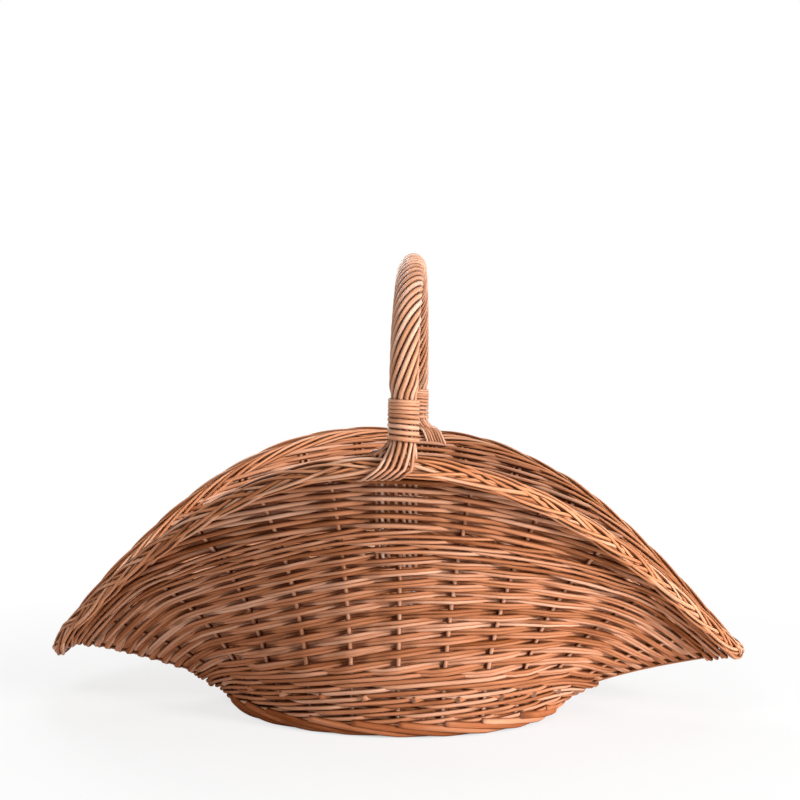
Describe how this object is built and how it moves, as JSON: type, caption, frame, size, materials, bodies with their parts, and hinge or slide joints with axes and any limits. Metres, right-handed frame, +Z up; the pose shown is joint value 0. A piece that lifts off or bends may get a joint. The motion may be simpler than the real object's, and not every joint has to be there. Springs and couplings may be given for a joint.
{
  "type": "wicker firewood basket",
  "caption": "Oval willow log basket with a flared saddle-shaped rim, low pointed ends, plaited border and a roped arch handle.",
  "frame": {"origin": "on the floor under the middle of the basket, at the middle of the foot border's flat bottom", "axes": "+X along the length to the right-hand tip, +Y from the front wall to the back wall, +Z up"},
  "size_m": [0.7122, 0.5342, 0.4586],
  "materials": {
    "willow_base": "boiled buff willow, satin",
    "willow_foot": "thick buff willow rods, satin and darker in the gaps",
    "willow_stake": "buff willow uprights, satin",
    "willow_weave": "buff willow rods, satin with paler and browner rods",
    "willow_border": "buff willow rods, satin, paler where the light falls",
    "willow_bow": "peeled willow, satin",
    "willow_rope": "slender buff willow rods, satin"
  },
  "bodies": {
    "root": {"base_long_stick_1": "willow_base", "base_long_stick_2": "willow_base", "base_long_stick_3": "willow_base", "base_short_stick_1": "willow_base", "base_short_stick_2": "willow_base", "base_short_stick_3": "willow_base", "base_short_stick_4": "willow_base", "base_short_stick_5": "willow_base", "base_short_stick_6": "willow_base", "base_short_stick_7": "willow_base", "base_weave": "willow_base", "foot_border": "willow_foot", "stake_01": "willow_stake", "stake_02": "willow_stake", "stake_03": "willow_stake", "stake_04": "willow_stake", "stake_05": "willow_stake", "stake_06": "willow_stake", "stake_07": "willow_stake", "stake_08": "willow_stake", "stake_09": "willow_stake", "stake_10": "willow_stake", "stake_11": "willow_stake", "stake_12": "willow_stake", "stake_13": "willow_stake", "stake_14": "willow_stake", "stake_15": "willow_stake", "stake_16": "willow_stake", "stake_17": "willow_stake", "stake_18": "willow_stake", "stake_19": "willow_stake", "stake_20": "willow_stake", "stake_21": "willow_stake", "stake_22": "willow_stake", "stake_23": "willow_stake", "stake_24": "willow_stake", "upsett_wale": "willow_weave", "lower_weave": "willow_weave", "mid_wale": "willow_weave", "front_weave": "willow_weave", "back_weave": "willow_weave", "rim_border": "willow_border", "handle_bow": "willow_bow", "rope_rod_01": "willow_rope", "rope_rod_02": "willow_rope", "rope_rod_03": "willow_rope", "rope_rod_04": "willow_rope", "rope_rod_05": "willow_rope", "rope_rod_06": "willow_rope", "rope_rod_07": "willow_rope", "rope_rod_08": "willow_rope", "rope_rod_09": "willow_rope", "rope_rod_10": "willow_rope", "rope_rod_11": "willow_rope", "rope_rod_12": "willow_rope", "front_binding": "willow_rope", "back_binding": "willow_rope"}
  },
  "joints": []
}
